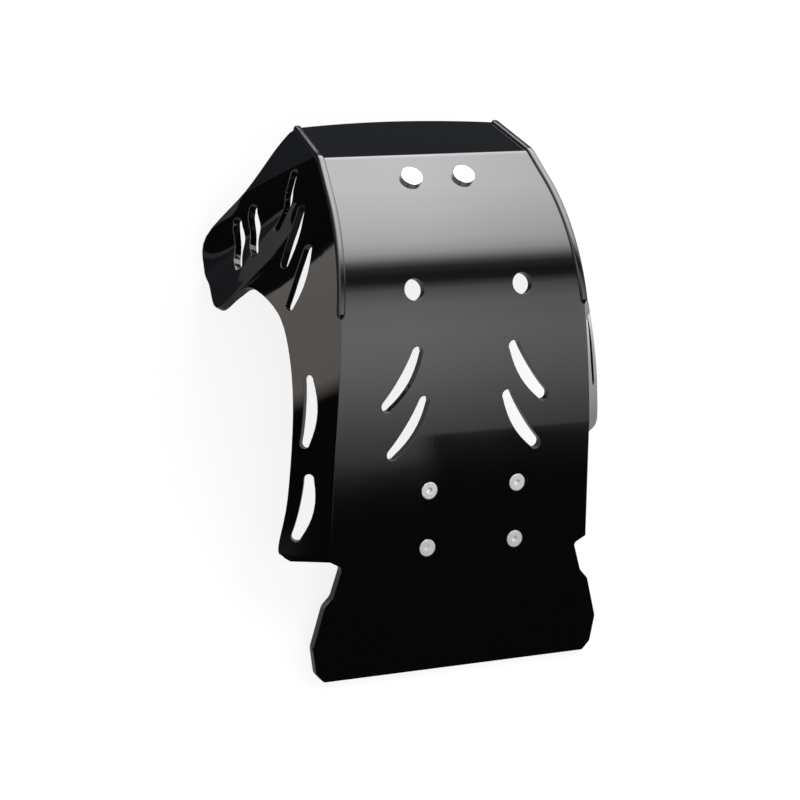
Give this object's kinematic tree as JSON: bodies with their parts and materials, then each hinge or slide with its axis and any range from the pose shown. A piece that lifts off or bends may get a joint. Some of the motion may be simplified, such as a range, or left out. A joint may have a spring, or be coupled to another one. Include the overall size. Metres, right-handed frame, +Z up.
{
  "type": "motorcycle skid plate",
  "caption": "Black plastic engine skid plate: flat slotted belly, swept front with an upright nose strip, twisted slotted side wings welded on, countersunk rear screws and round front bolts.",
  "frame": {"origin": "middle of the footprint, on the floor that the plate lies on", "axes": "+X along the plate towards the nose strip, +Y towards the bike's right side, +Z up off the floor: the plate lies outer face up on its tail's rear edge and on the tops of its wings"},
  "size_m": [0.3904, 0.2912, 0.1273],
  "materials": {
    "plastic": "gloss black, lightly brushed by handling",
    "hardware": "bright plated steel"
  },
  "bodies": {
    "root": {"skid_plate": "plastic", "rear_screw_1": "hardware", "rear_screw_2": "hardware", "rear_screw_3": "hardware", "rear_screw_4": "hardware", "rear_strip_left": "hardware", "rear_strip_right": "hardware", "rear_nut_1": "hardware", "rear_nut_2": "hardware", "rear_nut_3": "hardware", "rear_nut_4": "hardware", "front_bolt_left": "hardware", "front_bolt_right": "hardware", "front_strip": "hardware", "front_nut_left": "hardware", "front_nut_right": "hardware"}
  },
  "joints": []
}
